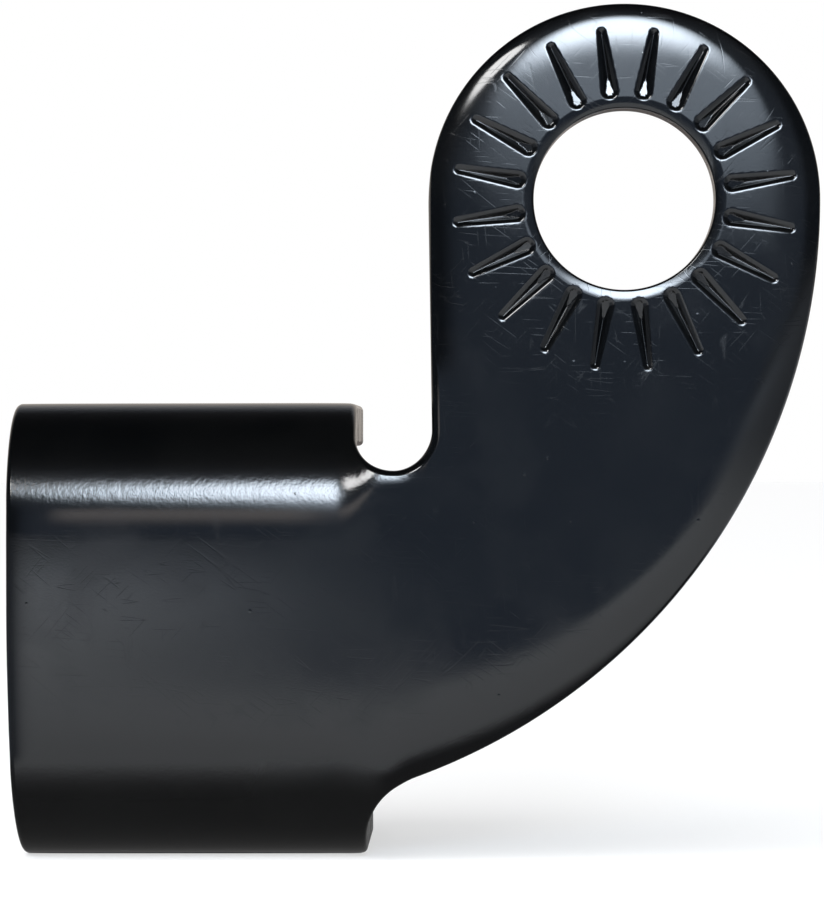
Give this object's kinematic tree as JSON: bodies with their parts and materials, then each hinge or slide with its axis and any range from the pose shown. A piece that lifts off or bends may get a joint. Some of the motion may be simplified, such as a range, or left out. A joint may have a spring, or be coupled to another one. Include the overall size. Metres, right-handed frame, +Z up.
{
  "type": "bike trailer hitch",
  "caption": "Steel plate hitch bent from one sheet: a grooved round head clamps on a bicycle's rear axle, a curved neck leads to a channel that takes a trailer's tongue and pin.",
  "frame": {"origin": "centre of the axle hole on the flat seat face, which lies against the bicycle's dropout", "axes": "+Y along the axle hole from the seat face to the back, -X towards the trailer, +Z up along the pin holes"},
  "size_m": [0.0558, 0.0254, 0.0588],
  "materials": {
    "black_coat": "glossy black coat over steel"
  },
  "bodies": {
    "root": {"hitch_bracket": "black_coat"}
  },
  "joints": []
}
